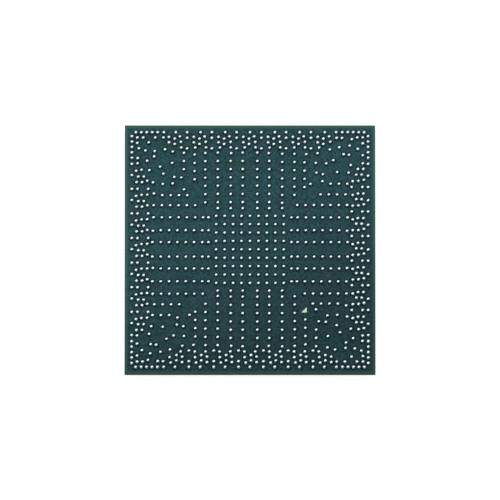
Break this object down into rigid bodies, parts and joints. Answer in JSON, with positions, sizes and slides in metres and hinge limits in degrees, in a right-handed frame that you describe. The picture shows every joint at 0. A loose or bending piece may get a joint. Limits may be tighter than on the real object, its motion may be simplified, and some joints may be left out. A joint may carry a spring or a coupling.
{
  "type": "ball grid array chip",
  "caption": "Square flip-chip package: bare silicon die and underfill on one side of a green substrate, and a dense irregular array of solder balls on the other.",
  "frame": {"origin": "centre of the die's back face, which the part lies on; the die, the substrate and the ball map share this centre", "axes": "+Z through the thickness, from the back of the die to the tops of the solder balls; X and Y run along the substrate's sides, and the pin 1 triangle of the ball side is towards +X and -Y"},
  "size_m": [0.023, 0.023, 0.0015],
  "materials": {
    "silicon": "polished grey back of the silicon die",
    "epoxy": "cured filled underfill epoxy, glossy",
    "solder_mask": "satin blue-green solder mask",
    "laminate": "cut edge of glass-epoxy laminate and build-up film",
    "plugging_resin": "cured hole-plugging resin",
    "copper": "plated copper",
    "gold_plating": "pale immersion gold over nickel",
    "solder": "bright reflowed tin-silver-copper solder"
  },
  "bodies": {
    "root": {"silicon_die": "silicon", "die_bumps": "solder", "bump_pads": "copper", "underfill": "epoxy", "die_side_mask": "solder_mask", "die_side_pin_one_mark": "gold_plating", "die_side_fiducials": "gold_plating", "die_side_buildup": "laminate", "die_side_plane": "copper", "core_laminate": "laminate", "via_barrels": "copper", "via_plugs": "plugging_resin", "ball_side_plane": "copper", "ball_side_buildup": "laminate", "ball_side_mask": "solder_mask", "ball_side_pin_one_mark": "gold_plating", "core_lands": "copper", "north_lands": "copper", "west_lands": "copper", "south_lands": "copper", "east_lands": "copper", "core_balls": "solder", "corner_anchor_balls": "solder", "north_edge_balls": "solder", "west_edge_balls": "solder", "south_edge_balls": "solder", "east_edge_balls": "solder", "north_spoke_balls": "solder", "west_spoke_balls": "solder", "south_spoke_balls": "solder", "east_spoke_balls": "solder", "northwest_corner_balls": "solder", "southwest_corner_balls": "solder", "southeast_corner_balls": "solder", "northeast_corner_balls": "solder"}
  },
  "joints": []
}
